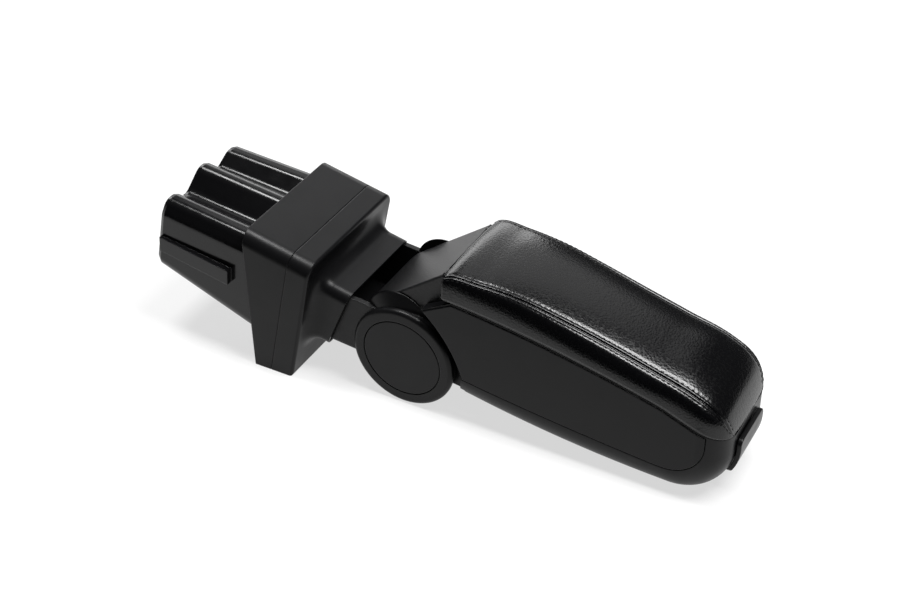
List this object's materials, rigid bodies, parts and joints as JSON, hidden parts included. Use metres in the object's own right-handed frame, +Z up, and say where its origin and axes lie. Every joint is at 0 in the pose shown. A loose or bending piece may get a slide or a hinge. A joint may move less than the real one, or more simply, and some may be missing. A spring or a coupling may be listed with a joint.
{
  "type": "car centre armrest",
  "caption": "Car centre armrest: lobed console plug, collar with flared neck, friction-hinged arm with a storage bin under a padded leather lid, and a front latch button.",
  "frame": {"origin": "centre of the bounding box's foot on the table, as the armrest lies", "axes": "+X along the arm towards its front latch, +Y towards the arm's left side, +Z up from the table"},
  "size_m": [0.4704, 0.118, 0.1328],
  "materials": {
    "plug_plastic": "glossy black moulded plastic",
    "satin_plastic": "satin black moulded plastic",
    "bin_plastic": "satin black moulded plastic",
    "grained_plastic": "fine-grained black moulded plastic",
    "bracket_steel": "black powder coat on folded steel",
    "fastener_steel": "zinc-plated steel",
    "washer_plastic": "natural acetal",
    "pad_leather": "semi-gloss black grained leather over foam"
  },
  "bodies": {
    "base": {"console_plug": "plug_plastic", "base_collar": "satin_plastic", "neck_cover": "satin_plastic", "hinge_bracket": "bracket_steel", "bracket_screws": "fastener_steel", "hinge_cheek_left": "satin_plastic", "hinge_cheek_right": "satin_plastic", "hinge_ring_left": "satin_plastic", "hinge_ring_right": "satin_plastic", "hinge_cap_left": "satin_plastic", "hinge_cap_right": "satin_plastic", "hinge_axle": "fastener_steel", "axle_nut": "fastener_steel", "spring_washer": "fastener_steel", "friction_washers": "washer_plastic"},
    "arm": {"storage_bin": "bin_plastic", "side_panel_left": "satin_plastic", "side_panel_right": "satin_plastic", "rear_hood": "grained_plastic", "hood_screws": "fastener_steel", "lid_hinge_pins": "fastener_steel", "latch_pin": "fastener_steel", "latch_spring": "fastener_steel"},
    "lid": {"lid_frame": "bin_plastic", "lid_cushion": "pad_leather", "lid_screws": "fastener_steel", "lid_catch": "bin_plastic"},
    "latch": {"latch_paddle": "satin_plastic"}
  },
  "joints": [
    {"name": "arm_hinge", "type": "hinge", "parent": "base", "child": "arm", "pos_m": [-0.0186, 0, 0.042], "axis": [0, 1, 0], "range_deg": [0, 90]},
    {"name": "lid_hinge", "type": "hinge", "parent": "arm", "child": "lid", "pos_m": [0.0137, 0, 0.121], "axis": [0, -1, 0], "range_deg": [0, 75]},
    {"name": "latch_pivot", "type": "hinge", "parent": "arm", "child": "latch", "pos_m": [0.2276, 0, 0.0485], "axis": [0, -1, 0], "range_deg": [0, 12], "stiffness_Nm_per_rad": 0.3}
  ]
}
